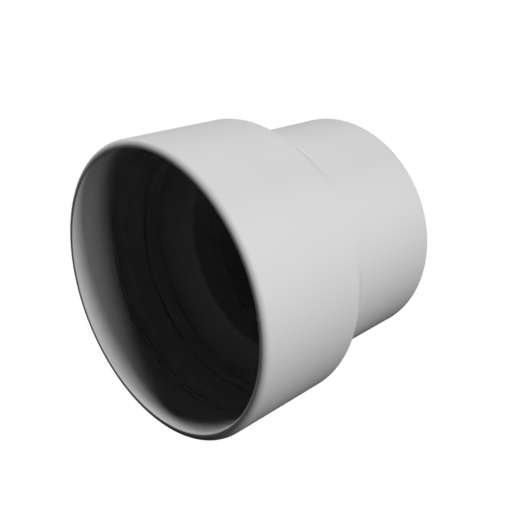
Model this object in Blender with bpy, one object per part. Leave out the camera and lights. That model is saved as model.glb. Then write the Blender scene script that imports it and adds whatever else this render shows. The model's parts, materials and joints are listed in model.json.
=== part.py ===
"""Eccentric reducer: a plastic drain fitting that joins a large pipe to a smaller one.

The pipe run lies along +Y, from the large socket's mouth at the origin to the small socket.
+Z is up. The two barrels are flush on one side, which is clocked above +X by CLOCKING, so that
the small barrel's axis is moved that way from the large barrel's.

Every piece is a ring whose section is a closed chain of circles, and each circle has a station
along Y, a radius, and a shift of its centre in the flush direction.
"""

import math

import bmesh
import bpy
from mathutils import Matrix, Vector

# Overall shape, in metres.
CLOCKING = math.radians(31.0)
LARGE_BARREL_LENGTH = 0.0875
CONE_LENGTH = 0.006
SMALL_BARREL_LENGTH = 0.081

# The pipes that the two sockets take.
LARGE_PIPE_DIAMETER = 0.200
LARGE_PIPE_WALL = 0.0049
SMALL_PIPE_DIAMETER = 0.160
SMALL_PIPE_WALL = 0.0040

# The fitting's own walls, and the room between a pipe and its socket, all round.
LARGE_WALL = 0.0062
SMALL_WALL = 0.0059
SOCKET_CLEARANCE = 0.0003

# Rounding of a socket's mouth, on the outside and on the inside.
LIP_OUTER_RADIUS = 0.0043
LIP_INNER_RADIUS = 0.0008
RIM_FLAT = 0.0001
LIP_OUTER_STEPS = 5
LIP_INNER_STEPS = 2

# The cone is a moulding with a short straight collar at each end, welded to the barrels there.
COLLAR_LENGTH = 0.010
WELD_REACH = 0.0020
WELD_DEPTH = 0.0040

# Sealing rings: each groove's distance from its mouth, and the groove's section.
LARGE_GROOVE_INSET = 0.036
SMALL_GROOVE_INSET = 0.018
GROOVE_WIDTH = 0.012
GROOVE_DEPTH = 0.0026
RETAINER_WIDTH = 0.0032
SEAL_LIP_REACH = 0.0036
SEAL_LIP_OVERHANG = 0.0015
SEAL_LIP_TIP = 0.0010
SEAL_HEEL = 0.0006

# Pipe stops: the stop's width along the axis, and the bore left between it and the joint.
STOP_WIDTH = 0.005
STOP_SETBACK = 0.006

# Gap that touching pieces keep, and the number of sides of every circle.
GAP = 0.0003
SIDES = 64
SMOOTH_ANGLE = math.radians(30.0)

# Sizes that follow from the ones above.
LARGE_BORE = LARGE_PIPE_DIAMETER / 2 + SOCKET_CLEARANCE
SMALL_BORE = SMALL_PIPE_DIAMETER / 2 + SOCKET_CLEARANCE
LARGE_RADIUS = LARGE_BORE + LARGE_WALL
SMALL_RADIUS = SMALL_BORE + SMALL_WALL
OFFSET = LARGE_RADIUS - SMALL_RADIUS
CONE_START = LARGE_BARREL_LENGTH
CONE_END = CONE_START + CONE_LENGTH
SMALL_MOUTH = CONE_END + SMALL_BARREL_LENGTH
LARGE_JOINT = CONE_START - COLLAR_LENGTH
SMALL_JOINT = CONE_END + COLLAR_LENGTH
ROOT_GAP = GAP * math.hypot(WELD_REACH, WELD_DEPTH) / WELD_DEPTH


class Socket:
    """One end of the fitting: its mouth's station, the way into it, and its radii."""

    def __init__(self, mouth, inward, shift, bore, wall, pipe_bore, joint, groove):
        self.mouth = mouth
        self.inward = inward
        self.shift = shift
        self.bore = bore
        self.outside = bore + wall
        self.lip_radius = min(LIP_OUTER_RADIUS, wall - LIP_INNER_RADIUS - RIM_FLAT)
        self.pipe_bore = pipe_bore
        self.joint = joint
        self.groove = groove
        self.stop = joint - STOP_SETBACK - STOP_WIDTH

    def circle(self, depth, radius):
        """A circle on this socket's axis, at a depth measured inwards from its mouth."""
        return self.mouth + self.inward * depth, radius, self.shift


LARGE = Socket(
    mouth=0.0,
    inward=1,
    shift=0.0,
    bore=LARGE_BORE,
    wall=LARGE_WALL,
    pipe_bore=LARGE_PIPE_DIAMETER / 2 - LARGE_PIPE_WALL,
    joint=LARGE_JOINT,
    groove=LARGE_GROOVE_INSET,
)
SMALL = Socket(
    mouth=SMALL_MOUTH,
    inward=-1,
    shift=OFFSET,
    bore=SMALL_BORE,
    wall=SMALL_WALL,
    pipe_bore=SMALL_PIPE_DIAMETER / 2 - SMALL_PIPE_WALL,
    joint=SMALL_MOUTH - SMALL_JOINT,
    groove=SMALL_GROOVE_INSET,
)


def make_material(name, color, roughness):
    """A plain plastic or rubber surface."""
    material = bpy.data.materials.new(name)
    material.use_nodes = True
    shader = material.node_tree.nodes["Principled BSDF"]
    shader.inputs["Base Color"].default_value = (*color, 1.0)
    shader.inputs["Roughness"].default_value = roughness
    shader.inputs["Metallic"].default_value = 0.0
    return material


def add_circle(mesh, station, radius, shift):
    """Adds one loop of points around an axis parallel to Y, and returns them in order."""
    flush_direction = Vector((math.cos(CLOCKING), 0.0, math.sin(CLOCKING)))
    centre = flush_direction * shift + Vector((0.0, station, 0.0))
    placement = Matrix.Translation(centre) @ Matrix.Rotation(math.radians(90.0), 4, "X")
    return bmesh.ops.create_circle(mesh, segments=SIDES, radius=radius, matrix=placement)["verts"]


def make_ring(name, circles, material):
    """Joins each circle of a section to the next by a band of faces, and the last to the first."""
    mesh = bmesh.new()
    loops = [add_circle(mesh, *circle) for circle in circles]
    for index, loop in enumerate(loops):
        previous = loops[index - 1]
        for side in range(SIDES):
            after = (side + 1) % SIDES
            mesh.faces.new((previous[side], previous[after], loop[after], loop[side]))
    bmesh.ops.recalc_face_normals(mesh, faces=mesh.faces)
    data = bpy.data.meshes.new(name)
    mesh.to_mesh(data)
    mesh.free()
    data.materials.append(material)
    data.shade_smooth()
    data.set_sharp_from_angle(angle=SMOOTH_ANGLE)
    ring = bpy.data.objects.new(name, data)
    bpy.context.scene.collection.objects.link(ring)
    return ring


def lip_circles(socket):
    """The mouth's rounded section, from the bore, over the end face, to the outside."""
    circles = []
    for step in range(LIP_INNER_STEPS + 1):
        angle = math.pi / 2 * step / LIP_INNER_STEPS
        depth = LIP_INNER_RADIUS * (1 - math.sin(angle))
        circles.append(socket.circle(depth, socket.bore + LIP_INNER_RADIUS * (1 - math.cos(angle))))
    for step in range(LIP_OUTER_STEPS + 1):
        angle = math.pi / 2 * step / LIP_OUTER_STEPS
        depth = socket.lip_radius * (1 - math.cos(angle))
        circles.append(socket.circle(depth, socket.outside - socket.lip_radius * (1 - math.sin(angle))))
    return circles


def make_barrel(name, socket, material):
    """A socket's barrel: rounded mouth, plain outside, welded end, and a bore with its groove."""
    end = socket.joint - ROOT_GAP
    groove_end = socket.groove + GROOVE_WIDTH
    groove_radius = socket.bore + GROOVE_DEPTH
    circles = lip_circles(socket)
    circles += [
        socket.circle(end - WELD_REACH, socket.outside),
        socket.circle(end, socket.outside - WELD_DEPTH),
        socket.circle(end, socket.bore),
        socket.circle(groove_end, socket.bore),
        socket.circle(groove_end, groove_radius),
        socket.circle(socket.groove, groove_radius),
        socket.circle(socket.groove, socket.bore),
    ]
    return make_ring(name, circles, material)


def make_cone(name, material):
    """The eccentric cone, straight on its flush side, with a short collar at each end.

    The inner cone is moved towards the large mouth, so that the wall is as thick on the
    steep side as in the collars.
    """
    steepness = math.atan2(LARGE_RADIUS - SMALL_RADIUS + OFFSET, CONE_LENGTH)
    inner_lead = LARGE_WALL * math.tan(steepness / 2)
    large_end = LARGE_JOINT + ROOT_GAP
    small_end = SMALL_JOINT - ROOT_GAP
    circles = [
        (large_end + WELD_REACH, LARGE_RADIUS, 0.0),
        (CONE_START, LARGE_RADIUS, 0.0),
        (CONE_END, SMALL_RADIUS, OFFSET),
        (small_end - WELD_REACH, SMALL_RADIUS, OFFSET),
        (small_end, SMALL_RADIUS - WELD_DEPTH, OFFSET),
        (small_end, SMALL_BORE, OFFSET),
        (CONE_END - inner_lead, SMALL_BORE, OFFSET),
        (CONE_START - inner_lead, LARGE_BORE, 0.0),
        (large_end, LARGE_BORE, 0.0),
        (large_end, LARGE_RADIUS - WELD_DEPTH, 0.0),
    ]
    return make_ring(name, circles, material)


def make_weld(name, socket, material):
    """The bead that fills a joint's V, dressed flush with the outside."""
    circles = [
        socket.circle(socket.joint - WELD_REACH, socket.outside),
        socket.circle(socket.joint + WELD_REACH, socket.outside),
        socket.circle(socket.joint, socket.outside - WELD_DEPTH),
    ]
    return make_ring(name, circles, material)


def make_stop(name, socket, material):
    """The ring bonded in a bore that the pipe's end meets, as deep as the pipe's own wall."""
    outer = socket.bore - GAP
    circles = [
        socket.circle(socket.stop, socket.pipe_bore),
        socket.circle(socket.stop, outer),
        socket.circle(socket.stop + STOP_WIDTH, outer),
        socket.circle(socket.stop + STOP_WIDTH, socket.pipe_bore),
    ]
    return make_ring(name, circles, material)


def make_retainer(name, socket, material):
    """The stiff ring that locks a seal in its groove, on the mouth's side, flush with the bore."""
    start = socket.groove + GAP
    outer = socket.bore + GROOVE_DEPTH - GAP
    circles = [
        socket.circle(start, socket.bore),
        socket.circle(start, outer),
        socket.circle(start + RETAINER_WIDTH, outer),
        socket.circle(start + RETAINER_WIDTH, socket.bore),
    ]
    return make_ring(name, circles, material)


def make_seal(name, socket, material):
    """The lip seal: a base that fills the groove, and a lip that leans in, away from the mouth."""
    start = socket.groove + GAP + RETAINER_WIDTH + GAP
    end = socket.groove + GROOVE_WIDTH - GAP
    base = socket.bore + GROOVE_DEPTH - GAP
    tip = socket.bore - SEAL_LIP_REACH
    circles = [
        socket.circle(start, base),
        socket.circle(end, base),
        socket.circle(end, socket.bore + SEAL_LIP_TIP),
        socket.circle(end - SEAL_LIP_OVERHANG, socket.bore + SEAL_HEEL),
        socket.circle(end + SEAL_LIP_OVERHANG, tip + SEAL_LIP_TIP),
        socket.circle(end + SEAL_LIP_OVERHANG / 2, tip),
        socket.circle(start + SEAL_LIP_TIP, socket.bore),
        socket.circle(start, socket.bore + SEAL_HEEL),
    ]
    return make_ring(name, circles, material)


def clear_scene():
    for old in list(bpy.data.objects):
        bpy.data.objects.remove(old, do_unlink=True)


def main():
    clear_scene()
    shell = make_material("shell_plastic", (0.72, 0.72, 0.72), 0.45)
    weld = make_material("weld_plastic", (0.70, 0.70, 0.70), 0.50)
    stop = make_material("stop_plastic", (0.68, 0.68, 0.68), 0.50)
    seal = make_material("seal_rubber", (0.60, 0.60, 0.60), 0.70)
    retainer = make_material("retainer_plastic", (0.66, 0.66, 0.66), 0.55)
    make_cone("eccentric_cone", shell)
    for end, socket in (("large", LARGE), ("small", SMALL)):
        make_barrel(f"{end}_barrel", socket, shell)
        make_weld(f"{end}_joint_weld", socket, weld)
        make_stop(f"{end}_pipe_stop", socket, stop)
        make_seal(f"{end}_seal", socket, seal)
        make_retainer(f"{end}_seal_retainer", socket, retainer)


main()
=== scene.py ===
"""Looks of an eccentric pipe reducer, laid out as an add-on and run as a script.

Every piece is a ring whose section is a closed chain of circles. The pipe run lies along +Y, and
the small socket's axis is moved from the large one's so that the two are flush on one side.
"""

import json
import math

import bmesh
import bpy
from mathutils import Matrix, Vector


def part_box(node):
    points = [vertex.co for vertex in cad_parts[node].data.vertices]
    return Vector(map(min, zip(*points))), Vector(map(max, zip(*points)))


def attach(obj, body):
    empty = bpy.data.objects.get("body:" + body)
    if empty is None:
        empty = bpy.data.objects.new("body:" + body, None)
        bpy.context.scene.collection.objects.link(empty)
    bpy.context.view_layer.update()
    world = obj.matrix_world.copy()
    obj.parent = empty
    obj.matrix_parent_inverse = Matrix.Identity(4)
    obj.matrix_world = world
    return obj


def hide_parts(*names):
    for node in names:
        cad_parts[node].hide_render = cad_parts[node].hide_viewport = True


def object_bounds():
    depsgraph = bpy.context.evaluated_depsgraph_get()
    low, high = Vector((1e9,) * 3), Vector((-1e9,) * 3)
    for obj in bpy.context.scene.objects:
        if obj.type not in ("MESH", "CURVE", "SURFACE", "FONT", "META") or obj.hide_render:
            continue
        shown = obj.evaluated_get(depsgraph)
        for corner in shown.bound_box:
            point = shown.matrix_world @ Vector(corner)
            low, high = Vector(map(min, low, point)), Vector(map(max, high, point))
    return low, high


bl_info = {
    "name": "Eccentric Reducer",
    "version": (1, 0, 0),
    "blender": (4, 5, 0),
    "location": "View3D > Sidebar > Reducer",
    "description": "Builds a plastic eccentric pipe reducer with its seals, stops and studio",
    "category": "Add Mesh",
}

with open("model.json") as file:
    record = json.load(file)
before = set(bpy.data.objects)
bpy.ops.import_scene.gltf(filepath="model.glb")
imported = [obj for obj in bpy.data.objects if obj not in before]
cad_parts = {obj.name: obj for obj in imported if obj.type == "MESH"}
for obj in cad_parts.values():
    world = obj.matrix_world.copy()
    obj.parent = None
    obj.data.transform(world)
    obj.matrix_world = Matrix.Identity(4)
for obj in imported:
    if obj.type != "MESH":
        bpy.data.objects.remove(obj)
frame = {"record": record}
FRAME_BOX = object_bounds()
BODY = "root"
SLOTS = {part["node"]: part["material_slot"] for part in frame["record"]["subparts"]}
SHARP_ANGLE = math.radians(28.0)
ROUGHNESS_SPREAD = 0.05
FLOOR_RADIUS = 30.0
FLOOR_SIDES = 64
LIGHT_DISTANCE = 2.0
LIGHT_SIZE = 0.22

# Each soft light's name, bearing and height in degrees, and power in watts.
LIGHTS = (
    ("right", 85, 40, 30.0),
    ("left", -85, 40, 20.0),
    ("right_low", 80, 10, 5.0),
    ("left_low", -80, 10, 5.0),
)


# Sizes read from the frame ---------------------------------------------------------------------

class Ring:
    """A CAD ring's place on its end: where it starts and stops inwards of the mouth, and its radius."""

    def __init__(self, node, mouth, inward):
        low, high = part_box(node)
        self.start, self.stop = sorted(((low.y - mouth) * inward, (high.y - mouth) * inward))
        self.radius = (high.x - low.x) / 2


class End:
    """One socket of the reducer: its mouth, the way in, its axis, and the rings on it."""

    def __init__(self, name, inward):
        low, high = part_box(f"{name}_barrel")
        self.name = name
        self.inward = inward
        self.mouth = low.y if inward > 0 else high.y
        self.axis = Vector(((low.x + high.x) / 2, 0.0, (low.z + high.z) / 2))
        self.barrel, self.weld, self.stop, self.seal, self.retainer = (
            Ring(f"{name}_{part}", self.mouth, inward)
            for part in ("barrel", "joint_weld", "pipe_stop", "seal", "seal_retainer")
        )
        self.joint = (self.weld.start + self.weld.stop) / 2

    def corner(self, depth, radius, rounding=0.0):
        """A corner of a section: its station along the run, radius, axis, and rounding."""
        return self.mouth + self.inward * depth, radius, self.axis, rounding


LARGE = End("large", 1)
SMALL = End("small", -1)


# Properties -------------------------------------------------------------------------------------

class ReducerShape(bpy.types.PropertyGroup):
    """Sizes that the frame's boxes don't give."""

    sides: bpy.props.IntProperty(
        name="Sides", description="Sides of every circle", default=256, min=32, max=512
    )
    arc_steps: bpy.props.IntProperty(
        name="Arc Steps", description="Steps in each rounded corner of a section", default=8, min=2, max=32
    )
    fit_gap: bpy.props.FloatProperty(
        name="Fit Gap", description="Room between pieces that touch", default=0.0003, unit="LENGTH"
    )
    lip_outer: bpy.props.FloatProperty(
        name="Lip Outer Radius", description="Rounding outside a mouth", default=0.0043, unit="LENGTH"
    )
    lip_inner: bpy.props.FloatProperty(
        name="Lip Inner Radius", description="Rounding inside a mouth", default=0.0008, unit="LENGTH"
    )
    crease: bpy.props.FloatProperty(
        name="Crease Radius", description="Rounding of the cone's edges", default=0.0016, unit="LENGTH"
    )
    collar: bpy.props.FloatProperty(
        name="Collar", description="Straight collar at each end of the cone", default=0.010, unit="LENGTH"
    )
    weld_depth: bpy.props.FloatProperty(
        name="Weld Depth", description="Depth of a dressed joint weld", default=0.004, unit="LENGTH"
    )
    groove_width: bpy.props.FloatProperty(
        name="Groove Width", description="Width of each seal's groove", default=0.012, unit="LENGTH"
    )
    large_pipe_wall: bpy.props.FloatProperty(
        name="Large Pipe Wall", description="Wall of the pipe in the large socket", default=0.0049,
        unit="LENGTH",
    )
    small_pipe_wall: bpy.props.FloatProperty(
        name="Small Pipe Wall", description="Wall of the pipe in the small socket", default=0.0040,
        unit="LENGTH",
    )
    lip_reach: bpy.props.FloatProperty(
        name="Lip Reach", description="How far a seal's lip stands inside its bore", default=0.0036,
        unit="LENGTH",
    )
    lip_overhang: bpy.props.FloatProperty(
        name="Lip Overhang", description="How far a seal's lip leans past its groove", default=0.0015,
        unit="LENGTH",
    )
    edge_break: bpy.props.FloatProperty(
        name="Edge Break", description="Rounding on the edges of the small rings", default=0.0004,
        unit="LENGTH",
    )


class ReducerFinish(bpy.types.PropertyGroup):
    """Colours and roughness of the plastics and the rubber."""

    shell_color: bpy.props.FloatVectorProperty(
        name="Shell", description="Moulded shell's colour", subtype="COLOR", size=3,
        default=(0.72, 0.72, 0.72),
    )
    stop_color: bpy.props.FloatVectorProperty(
        name="Stop", description="Pipe stops' colour", subtype="COLOR", size=3,
        default=(0.68, 0.68, 0.68),
    )
    seal_color: bpy.props.FloatVectorProperty(
        name="Seal", description="Lip seals' colour", subtype="COLOR", size=3,
        default=(0.60, 0.60, 0.60),
    )
    retainer_color: bpy.props.FloatVectorProperty(
        name="Retainer", description="Seal retainers' colour", subtype="COLOR", size=3,
        default=(0.66, 0.66, 0.66),
    )
    shell_roughness: bpy.props.FloatProperty(
        name="Shell Roughness", description="Roughness of the moulded shell", default=0.6, min=0.0, max=1.0
    )


class ReducerStudio(bpy.types.PropertyGroup):
    """Where the camera stands, and what it looks at."""

    azimuth: bpy.props.FloatProperty(
        name="Azimuth", description="Camera's bearing, from -Y towards +X", subtype="ANGLE",
        default=math.radians(44.92),
    )
    elevation: bpy.props.FloatProperty(
        name="Elevation", description="Camera's height above the horizon", subtype="ANGLE",
        default=math.radians(22.91),
    )
    distance: bpy.props.FloatProperty(
        name="Distance", description="From the camera to the point it looks at", default=0.5384, unit="LENGTH"
    )
    aim: bpy.props.FloatVectorProperty(
        name="Aim", description="Point looked at, from the middle of the reducer", subtype="TRANSLATION",
        size=3, default=(0.0046, 0.0062, 0.0029),
    )
    lens: bpy.props.FloatProperty(
        name="Lens", description="Focal length in millimetres, on a 36 mm sensor", default=50.0
    )


# Materials --------------------------------------------------------------------------------------

class NodeChain:
    """A small helper that adds nodes to one material and links them by name."""

    def __init__(self, name):
        self.material = bpy.data.materials.new(name)
        self.material.use_nodes = True
        self.tree = self.material.node_tree
        self.shader = self.tree.nodes["Principled BSDF"]
        self.place = self.add("ShaderNodeTexCoord").outputs["Object"]

    def add(self, kind, **settings):
        node = self.tree.nodes.new(kind)
        for key, value in settings.items():
            setattr(node, key, value)
        return node

    def link(self, output, target):
        self.tree.links.new(output, target)

    def noise(self, scale, detail):
        """Noise in the object's own space, in cells per metre."""
        node = self.add("ShaderNodeTexNoise")
        node.inputs["Scale"].default_value = scale
        node.inputs["Detail"].default_value = detail
        self.link(self.place, node.inputs["Vector"])
        return node.outputs["Fac"]

    def remap(self, value, low, high):
        """Stretches a 0 to 1 value over the range from low to high."""
        node = self.add("ShaderNodeMapRange")
        node.inputs["To Min"].default_value = low
        node.inputs["To Max"].default_value = high
        self.link(value, node.inputs["Value"])
        return node.outputs["Result"]

    def tinted(self, color, value, spread):
        """The colour, darkened and lightened by a share of itself where the value is low or high."""
        node = self.add("ShaderNodeMix", data_type="RGBA", blend_type="MIX")
        node.inputs["A"].default_value = (*(channel * (1 - spread) for channel in color), 1.0)
        node.inputs["B"].default_value = (*(min(channel * (1 + spread), 1.0) for channel in color), 1.0)
        self.link(value, node.inputs["Factor"])
        return node.outputs["Result"]

    def bump(self, value, strength, distance, below=None):
        """Raises the surface by a height texture, on top of another bump where one is given."""
        node = self.add("ShaderNodeBump")
        node.inputs["Strength"].default_value = strength
        node.inputs["Distance"].default_value = distance
        self.link(value, node.inputs["Height"])
        if below is not None:
            self.link(below, node.inputs["Normal"])
        return node.outputs["Normal"]


def moulded_plastic(name, color, roughness):
    """Satin moulded plastic: barely mottled, with a fine spark-eroded grain and slow waves."""
    chain = NodeChain(name)
    chain.shader.inputs["IOR"].default_value = 1.46
    chain.shader.inputs["Specular IOR Level"].default_value = 0.20
    mottle = chain.noise(scale=28.0, detail=4.0)
    grain = chain.noise(scale=2600.0, detail=2.0)
    waves = chain.noise(scale=45.0, detail=1.0)
    chain.link(chain.tinted(color, mottle, spread=0.012), chain.shader.inputs["Base Color"])
    satin = chain.remap(mottle, low=roughness - ROUGHNESS_SPREAD, high=roughness + ROUGHNESS_SPREAD)
    chain.link(satin, chain.shader.inputs["Roughness"])
    slow = chain.bump(waves, strength=0.10, distance=0.0006)
    fine = chain.bump(grain, strength=0.10, distance=0.00005, below=slow)
    chain.link(fine, chain.shader.inputs["Normal"])
    return chain.material


def turned_plastic(name, color):
    """Plastic cut on a lathe: fine rings around the pipe run."""
    chain = NodeChain(name)
    rings = chain.add("ShaderNodeTexWave", wave_type="BANDS", bands_direction="Y")
    rings.inputs["Scale"].default_value = 420.0
    rings.inputs["Distortion"].default_value = 1.5
    chain.link(chain.place, rings.inputs["Vector"])
    mottle = chain.noise(scale=60.0, detail=4.0)
    chain.link(chain.tinted(color, mottle, spread=0.03), chain.shader.inputs["Base Color"])
    chain.link(chain.remap(mottle, low=0.45, high=0.60), chain.shader.inputs["Roughness"])
    ridges = chain.bump(rings.outputs["Fac"], strength=0.2, distance=0.0001)
    chain.link(ridges, chain.shader.inputs["Normal"])
    return chain.material


def pebbled_rubber(name, color):
    """Matt rubber with a dusty bloom and a fine pebbled skin."""
    chain = NodeChain(name)
    chain.shader.inputs["Specular IOR Level"].default_value = 0.4
    bloom = chain.noise(scale=90.0, detail=5.0)
    skin = chain.noise(scale=1800.0, detail=3.0)
    chain.link(chain.tinted(color, bloom, spread=0.25), chain.shader.inputs["Base Color"])
    chain.link(chain.remap(bloom, low=0.60, high=0.80), chain.shader.inputs["Roughness"])
    chain.link(chain.bump(skin, strength=0.25, distance=0.0001), chain.shader.inputs["Normal"])
    return chain.material


def finish_for(slot):
    """The finish of one of the record's material slots, made once and then shared."""
    name = f"{slot}_finish"
    if name in bpy.data.materials:
        return bpy.data.materials[name]
    finish = bpy.context.scene.reducer_finish
    if slot == "seal_rubber":
        return pebbled_rubber(name, finish.seal_color)
    if slot == "stop_plastic":
        return turned_plastic(name, finish.stop_color)
    if slot == "retainer_plastic":
        return moulded_plastic(name, finish.retainer_color, finish.shell_roughness)
    return moulded_plastic(name, finish.shell_color, finish.shell_roughness)


# Meshes -----------------------------------------------------------------------------------------

def rounded(before, corner, after, steps):
    """The circles that round one corner, as an exact arc where both of its edges are long enough."""
    size = corner[3]
    here, back, ahead = (Vector((c[0], c[1])) for c in (corner, before, after))
    back_share = size / max((back - here).length, size + before[3])
    ahead_share = size / max((ahead - here).length, size + after[3])
    weight = math.sin((back - here).angle(ahead - here) / 2)
    starts = [corner[i] + (before[i] - corner[i]) * back_share for i in range(3)]
    ends = [corner[i] + (after[i] - corner[i]) * ahead_share for i in range(3)]
    circles = []
    for step in range(steps + 1):
        t = step / steps
        shares = (1 - t) ** 2, 2 * weight * t * (1 - t), t ** 2
        total = sum(shares)
        circles.append(tuple(
            (starts[i] * shares[0] + corner[i] * shares[1] + ends[i] * shares[2]) / total
            for i in range(3)
        ))
    return circles


def section_circles(corners, steps):
    """A section's circles, with an arc in place of each corner that has a rounding."""
    circles = []
    for index, corner in enumerate(corners):
        if corner[3] > 0:
            after = corners[(index + 1) % len(corners)]
            circles += rounded(corners[index - 1], corner, after, steps)
        else:
            circles.append(corner[:3])
    return circles


def ring_mesh(name, circles, sides):
    """Joins each circle of a section to the next by a band of faces, and the last to the first."""
    mesh = bmesh.new()
    loops = []
    for station, radius, axis in circles:
        turns = (math.tau * side / sides for side in range(sides))
        loops.append([
            mesh.verts.new((axis.x + radius * math.cos(turn), station, axis.z + radius * math.sin(turn)))
            for turn in turns
        ])
    for index, loop in enumerate(loops):
        previous = loops[index - 1]
        for side in range(sides):
            after = (side + 1) % sides
            mesh.faces.new((previous[side], previous[after], loop[after], loop[side]))
    bmesh.ops.recalc_face_normals(mesh, faces=mesh.faces)
    data = bpy.data.meshes.new(name)
    mesh.to_mesh(data)
    mesh.free()
    data.shade_smooth()
    data.set_sharp_from_angle(angle=SHARP_ANGLE)
    return data


def add_ring(node, corners):
    """Makes the finished ring that stands for a CAD ring, from the corners of its section."""
    shape = bpy.context.scene.reducer_shape
    slot = SLOTS[node]
    data = ring_mesh(f"{node}_finished", section_circles(corners, shape.arc_steps), shape.sides)
    data.materials.append(finish_for(slot))
    ring = bpy.data.objects.new(data.name, data)
    bpy.context.scene.collection.objects.link(ring)
    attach(ring, BODY)
    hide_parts(node)


# Pieces -----------------------------------------------------------------------------------------

def barrel_corners(end, shape):
    """A barrel: rounded mouth, plain outside, V at the joint, and a bore with the seal's groove."""
    bore = end.stop.radius + shape.fit_gap
    outside = end.barrel.radius
    groove = end.retainer.radius + shape.fit_gap
    groove_start = end.retainer.start - shape.fit_gap
    groove_stop = groove_start + shape.groove_width
    lip = min(shape.lip_outer, outside - bore - shape.lip_inner)
    return [
        end.corner(0.0, bore, shape.lip_inner),
        end.corner(0.0, outside, lip),
        end.corner(end.weld.start, outside),
        end.corner(end.joint, outside - shape.weld_depth),
        end.corner(end.joint, bore),
        end.corner(groove_stop, bore, shape.edge_break),
        end.corner(groove_stop, groove),
        end.corner(groove_start, groove),
        end.corner(groove_start, bore, shape.edge_break),
    ]


def cone_corners(shape):
    """The eccentric cone, straight on its flush side, with a collar at each end."""
    large_bore = LARGE.stop.radius + shape.fit_gap
    small_bore = SMALL.stop.radius + shape.fit_gap
    large_depth = LARGE.joint + shape.collar
    small_depth = SMALL.joint + shape.collar
    length = abs(SMALL.mouth - LARGE.mouth) - large_depth - small_depth
    drop = LARGE.barrel.radius - SMALL.barrel.radius + (SMALL.axis - LARGE.axis).length
    wall = LARGE.barrel.radius - large_bore
    lead = wall * math.tan(math.atan2(drop, length) / 2)
    return [
        LARGE.corner(LARGE.weld.stop, LARGE.barrel.radius),
        LARGE.corner(large_depth, LARGE.barrel.radius, shape.crease),
        SMALL.corner(small_depth, SMALL.barrel.radius, shape.crease),
        SMALL.corner(SMALL.weld.stop, SMALL.barrel.radius),
        SMALL.corner(SMALL.joint, SMALL.barrel.radius - shape.weld_depth),
        SMALL.corner(SMALL.joint, small_bore),
        SMALL.corner(small_depth + lead, small_bore, shape.crease),
        LARGE.corner(large_depth - lead, large_bore, shape.crease),
        LARGE.corner(LARGE.joint, large_bore),
        LARGE.corner(LARGE.joint, LARGE.barrel.radius - shape.weld_depth),
    ]


def weld_corners(end, shape):
    """The bead that fills a joint's V, dressed flush with the outside."""
    return [
        end.corner(end.weld.start, end.barrel.radius),
        end.corner(end.weld.stop, end.barrel.radius),
        end.corner(end.joint, end.barrel.radius - shape.weld_depth),
    ]


def rectangle_corners(end, ring, inner, rounding):
    """A plain ring of rectangular section, with its edges rounded."""
    return [
        end.corner(ring.start, inner, rounding),
        end.corner(ring.start, ring.radius, rounding),
        end.corner(ring.stop, ring.radius, rounding),
        end.corner(ring.stop, inner, rounding),
    ]


def seal_corners(end, shape):
    """A lip seal: a base that fills the groove, and a lip that leans in, away from the mouth."""
    bore = end.stop.radius + shape.fit_gap
    base_start = end.retainer.stop + shape.fit_gap
    base_stop = end.seal.stop - shape.lip_overhang
    tip = bore - shape.lip_reach
    edge = shape.edge_break
    return [
        end.corner(base_start, end.seal.radius, edge),
        end.corner(base_stop, end.seal.radius, edge),
        end.corner(base_stop, bore + 2 * edge, edge),
        end.corner(base_stop - shape.lip_overhang, bore + edge, edge),
        end.corner(end.seal.stop, tip + 2 * edge, edge),
        end.corner(end.seal.stop - shape.lip_overhang / 2, tip, edge),
        end.corner(base_start + 2 * edge, bore, edge),
        end.corner(base_start, bore + edge, edge),
    ]


class REDUCER_OT_barrels(bpy.types.Operator):
    """Makes the two barrels, each with a rounded mouth and a groove for its seal"""

    bl_idname = "reducer.barrels"
    bl_label = "Barrels"

    def execute(self, context):
        for end in (LARGE, SMALL):
            add_ring(f"{end.name}_barrel", barrel_corners(end, context.scene.reducer_shape))
        return {"FINISHED"}


class REDUCER_OT_cone(bpy.types.Operator):
    """Makes the eccentric cone between the barrels"""

    bl_idname = "reducer.cone"
    bl_label = "Cone"

    def execute(self, context):
        add_ring("eccentric_cone", cone_corners(context.scene.reducer_shape))
        return {"FINISHED"}


class REDUCER_OT_welds(bpy.types.Operator):
    """Makes the dressed welds that join the barrels to the cone"""

    bl_idname = "reducer.welds"
    bl_label = "Joint Welds"

    def execute(self, context):
        for end in (LARGE, SMALL):
            add_ring(f"{end.name}_joint_weld", weld_corners(end, context.scene.reducer_shape))
        return {"FINISHED"}


class REDUCER_OT_pipe_stops(bpy.types.Operator):
    """Makes the rings that a pushed-in pipe meets"""

    bl_idname = "reducer.pipe_stops"
    bl_label = "Pipe Stops"

    def execute(self, context):
        shape = context.scene.reducer_shape
        for end, wall in ((LARGE, shape.large_pipe_wall), (SMALL, shape.small_pipe_wall)):
            inner = end.stop.radius - wall
            add_ring(f"{end.name}_pipe_stop", rectangle_corners(end, end.stop, inner, shape.edge_break))
        return {"FINISHED"}


class REDUCER_OT_seals(bpy.types.Operator):
    """Makes the lip seals"""

    bl_idname = "reducer.seals"
    bl_label = "Lip Seals"

    def execute(self, context):
        for end in (LARGE, SMALL):
            add_ring(f"{end.name}_seal", seal_corners(end, context.scene.reducer_shape))
        return {"FINISHED"}


class REDUCER_OT_retainers(bpy.types.Operator):
    """Makes the stiff rings that lock the seals in their grooves"""

    bl_idname = "reducer.retainers"
    bl_label = "Seal Retainers"

    def execute(self, context):
        shape = context.scene.reducer_shape
        for end in (LARGE, SMALL):
            bore = end.stop.radius + shape.fit_gap
            corners = rectangle_corners(end, end.retainer, bore, shape.edge_break)
            add_ring(f"{end.name}_seal_retainer", corners)
        return {"FINISHED"}


# Studio -----------------------------------------------------------------------------------------

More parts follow.
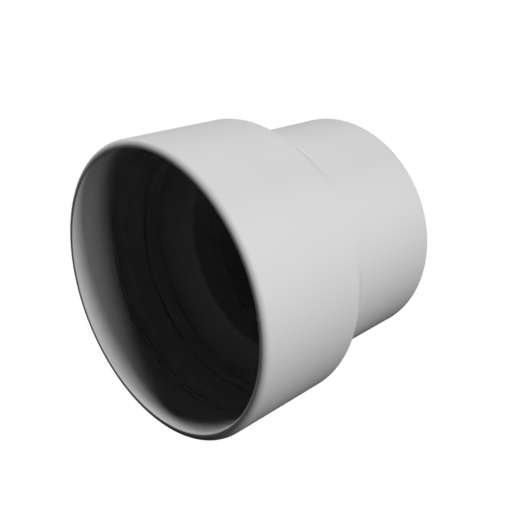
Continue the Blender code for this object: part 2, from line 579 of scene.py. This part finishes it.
def glowing_white(name):
    """A shadowless pale surface."""
    chain = NodeChain(name)
    chain.shader.inputs["Base Color"].default_value = (0.0, 0.0, 0.0, 1.0)
    chain.shader.inputs["Specular IOR Level"].default_value = 0.0
    chain.shader.inputs["Emission Color"].default_value = (1.0, 1.0, 1.0, 1.0)
    chain.shader.inputs["Emission Strength"].default_value = 1.0
    return chain.material


def add_floor():
    """A wide pale floor under the reducer, which throws no light back onto it."""
    low, _ = FRAME_BOX
    mesh = bmesh.new()
    bmesh.ops.create_circle(mesh, cap_ends=True, segments=FLOOR_SIDES, radius=FLOOR_RADIUS)
    data = bpy.data.meshes.new("studio_floor")
    mesh.to_mesh(data)
    mesh.free()
    data.materials.append(glowing_white("studio_floor"))
    floor = bpy.data.objects.new("studio_floor", data)
    floor.location.z = low[2]
    floor.visible_diffuse = False
    floor.visible_glossy = False
    bpy.context.scene.collection.objects.link(floor)


def add_sky(scene):
    """A white surround that lights nothing."""
    world = bpy.data.worlds.new("studio_world")
    world.use_nodes = True
    world.node_tree.nodes["Background"].inputs["Color"].default_value = (1.0, 1.0, 1.0, 1.0)
    world.cycles_visibility.diffuse = False
    world.cycles_visibility.glossy = False
    scene.world = world


def direction(azimuth, elevation):
    """Unit vector towards a bearing measured from -Y towards +X, and a height above the horizon."""
    flat = math.cos(elevation)
    return Vector((math.sin(azimuth) * flat, -math.cos(azimuth) * flat, math.sin(elevation)))


def add_light(name, bearing, height, power):
    """A round soft light that faces the middle of the reducer."""
    lamp = bpy.data.lights.new(name, "AREA")
    lamp.shape = "DISK"
    lamp.size = LIGHT_SIZE
    lamp.energy = power
    light = bpy.data.objects.new(name, lamp)
    away = direction(math.radians(bearing), math.radians(height))
    light.location = middle() + away * LIGHT_DISTANCE
    light.rotation_euler = away.to_track_quat("Z", "Y").to_euler()
    bpy.context.scene.collection.objects.link(light)


def middle():
    """Middle of the reducer's box."""
    low, high = FRAME_BOX
    return (Vector(low) + Vector(high)) / 2


def add_camera(scene, studio):
    """The camera, level, on a 36 mm wide sensor."""
    data = bpy.data.cameras.new("studio_camera")
    data.lens = studio.lens
    camera = bpy.data.objects.new("studio_camera", data)
    away = direction(studio.azimuth, studio.elevation)
    camera.location = middle() + Vector(studio.aim) + away * studio.distance
    camera.rotation_euler = away.to_track_quat("Z", "Y").to_euler()
    scene.collection.objects.link(camera)
    scene.camera = camera


class REDUCER_OT_studio(bpy.types.Operator):
    """Makes the floor, the white surround, the soft lights and the camera"""

    bl_idname = "reducer.studio"
    bl_label = "Studio"

    def execute(self, context):
        scene = context.scene
        scene.view_settings.view_transform = "Standard"
        add_floor()
        add_sky(scene)
        for light in LIGHTS:
            add_light(*light)
        add_camera(scene, scene.reducer_studio)
        return {"FINISHED"}


class REDUCER_PT_sidebar(bpy.types.Panel):
    """Lists the reducer's sizes, finishes and pieces"""

    bl_idname = "REDUCER_PT_sidebar"
    bl_label = "Eccentric Reducer"
    bl_space_type = "VIEW_3D"
    bl_region_type = "UI"
    bl_category = "Reducer"

    def draw(self, context):
        for group in GROUPS:
            box = self.layout.box()
            settings = getattr(context.scene, group)
            for name in settings.__annotations__:
                box.prop(settings, name)
        for operator in OPERATORS:
            self.layout.operator(operator.bl_idname)


GROUPS = {
    "reducer_shape": ReducerShape,
    "reducer_finish": ReducerFinish,
    "reducer_studio": ReducerStudio,
}
OPERATORS = (
    REDUCER_OT_barrels,
    REDUCER_OT_cone,
    REDUCER_OT_welds,
    REDUCER_OT_pipe_stops,
    REDUCER_OT_seals,
    REDUCER_OT_retainers,
    REDUCER_OT_studio,
)


def register():
    for cls in (*GROUPS.values(), *OPERATORS, REDUCER_PT_sidebar):
        bpy.utils.register_class(cls)
    for name, group in GROUPS.items():
        setattr(bpy.types.Scene, name, bpy.props.PointerProperty(type=group))


def unregister():
    for name in GROUPS:
        delattr(bpy.types.Scene, name)
    for cls in (REDUCER_PT_sidebar, *reversed(OPERATORS), *reversed(GROUPS.values())):
        bpy.utils.unregister_class(cls)


def main():
    register()
    for operator in OPERATORS:
        group, name = operator.bl_idname.split(".")
        getattr(getattr(bpy.ops, group), name)()


if __name__ == "__main__":
    main()
